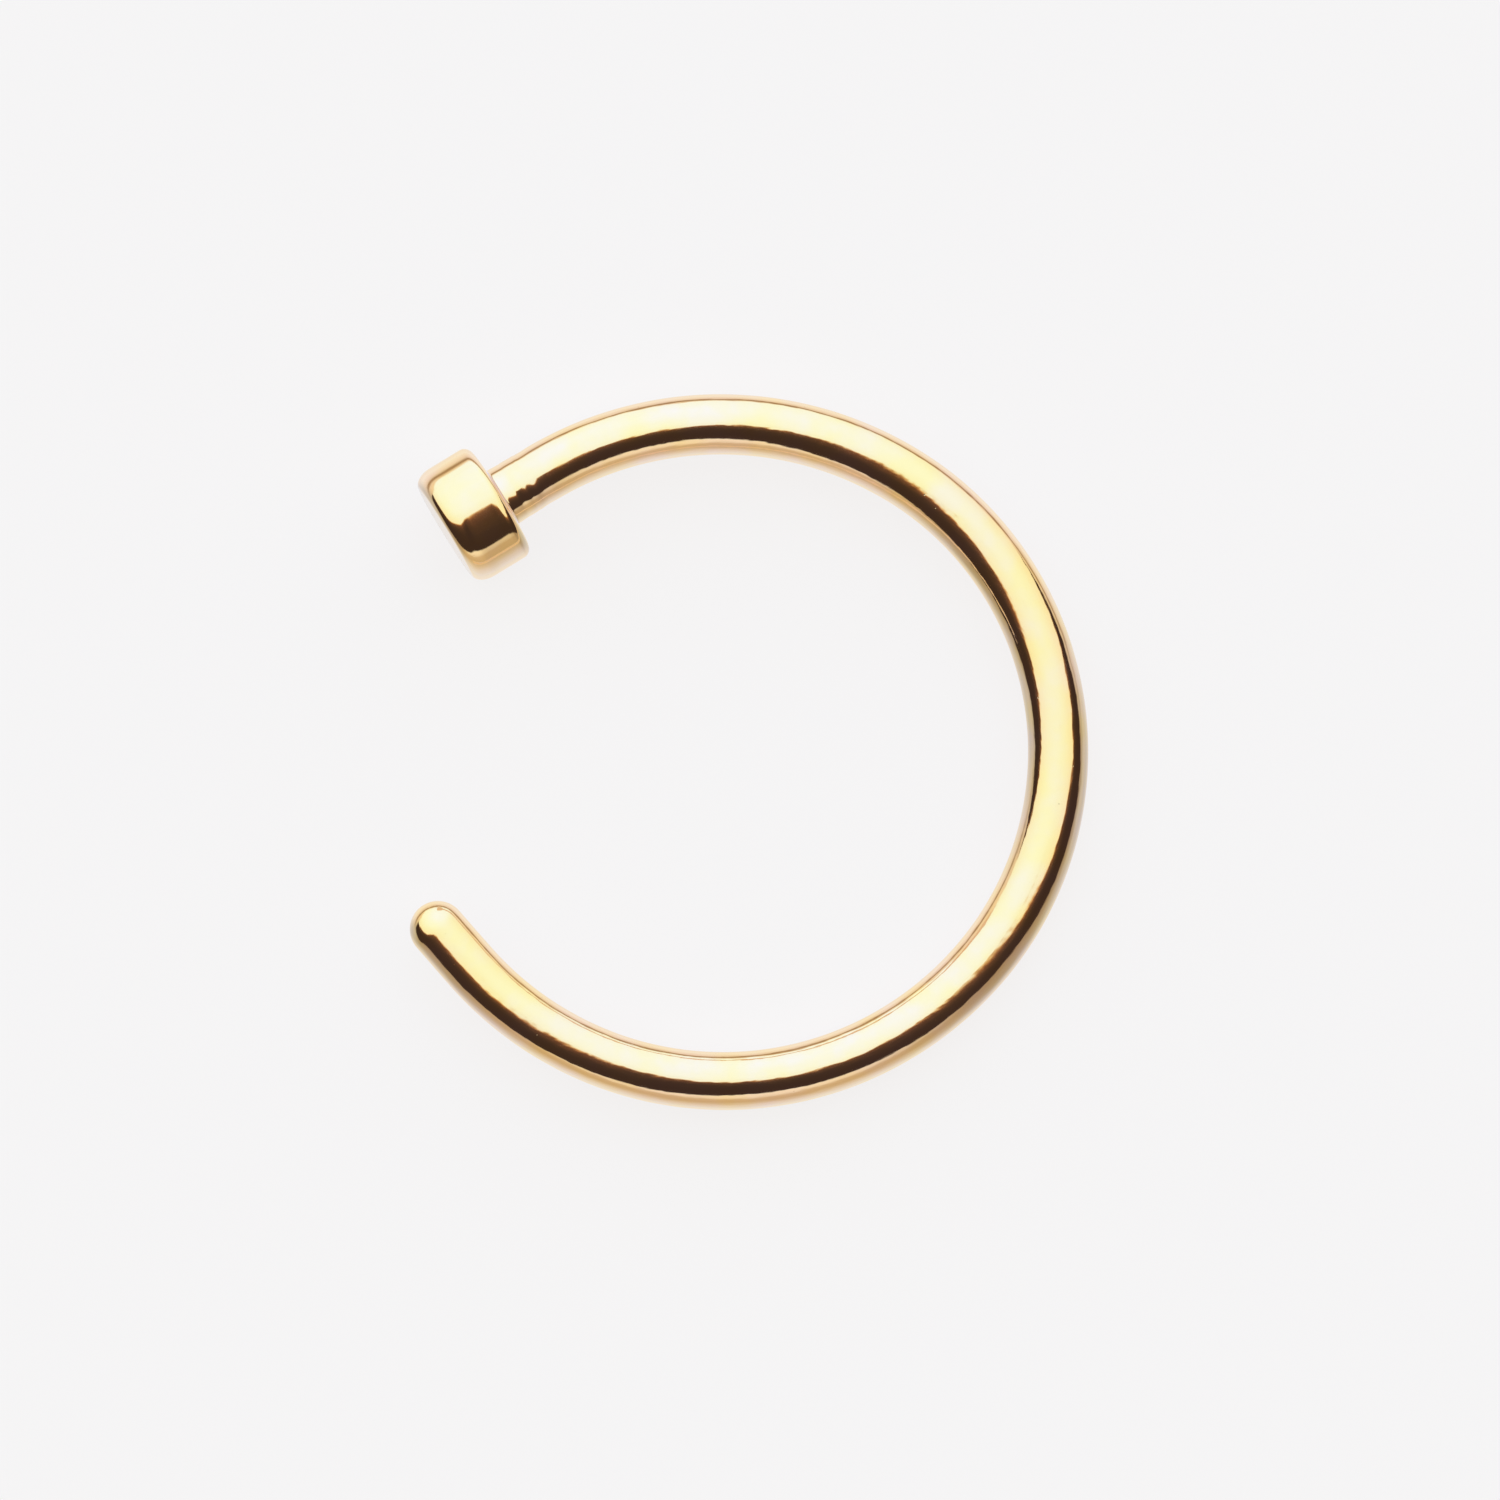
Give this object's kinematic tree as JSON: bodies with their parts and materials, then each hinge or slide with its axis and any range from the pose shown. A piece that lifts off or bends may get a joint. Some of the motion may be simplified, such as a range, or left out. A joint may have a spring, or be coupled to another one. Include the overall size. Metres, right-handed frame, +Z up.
{
  "type": "nose ring",
  "caption": "Open nose hoop of round wire with a flat round disc at one end and a rounded tip at the other, polished gold colour.",
  "frame": {"origin": "centre of the box's bottom, on the surface the ring lies on", "axes": "+Z up, +X away from the ring's opening, +Y from the tip's side towards the disc's side"},
  "size_m": [0.009, 0.0096, 0.0017],
  "materials": {
    "gold": "mirror-polished gold plating over surgical steel"
  },
  "bodies": {
    "root": {"nose_ring": "gold"}
  },
  "joints": []
}
